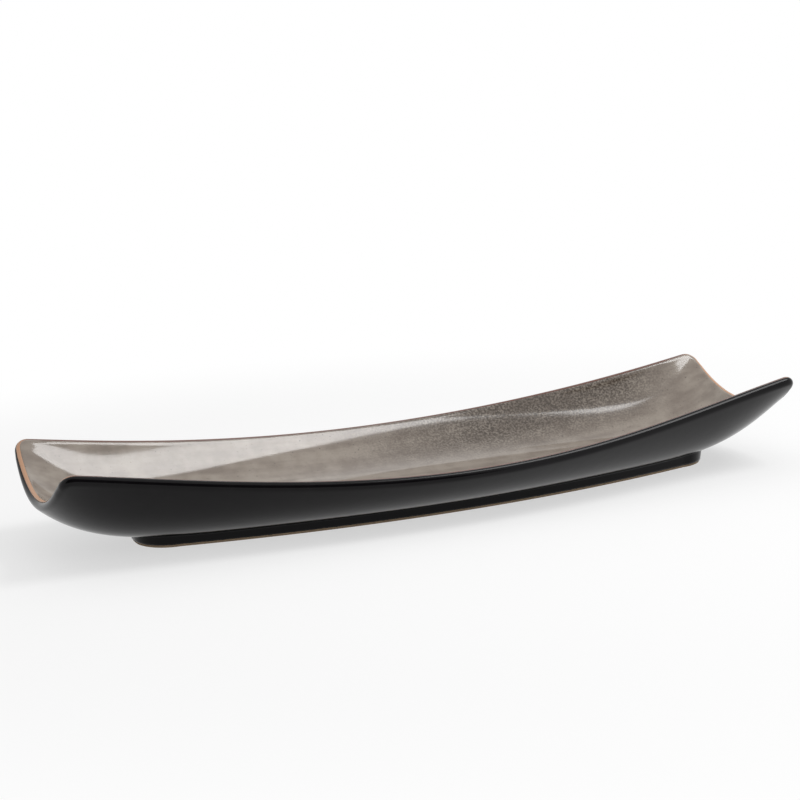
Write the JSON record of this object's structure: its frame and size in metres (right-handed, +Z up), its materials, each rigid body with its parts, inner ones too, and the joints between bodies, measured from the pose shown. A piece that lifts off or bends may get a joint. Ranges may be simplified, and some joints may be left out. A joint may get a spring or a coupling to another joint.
{
  "type": "appetizer plate",
  "caption": "Long boat-shaped stoneware appetizer plate with upswept open ends, grey inside, black outside, on an oblong foot ring.",
  "frame": {"origin": "on the table, under the middle of the plate", "axes": "+X along the plate's length, +Y across it, +Z up"},
  "size_m": [0.4032, 0.1386, 0.0485],
  "materials": {
    "bare_stoneware": "matt, fired clay",
    "grey_glaze": "semi-gloss, speckled",
    "iron_glaze": "satin",
    "black_glaze": "gloss"
  },
  "bodies": {
    "root": {"stoneware_body": "bare_stoneware", "foot_ring": "bare_stoneware", "grey_inner_glaze": "grey_glaze", "rim_glaze_line": "iron_glaze", "black_outer_glaze": "black_glaze", "foot_well_glaze": "black_glaze"}
  },
  "joints": []
}
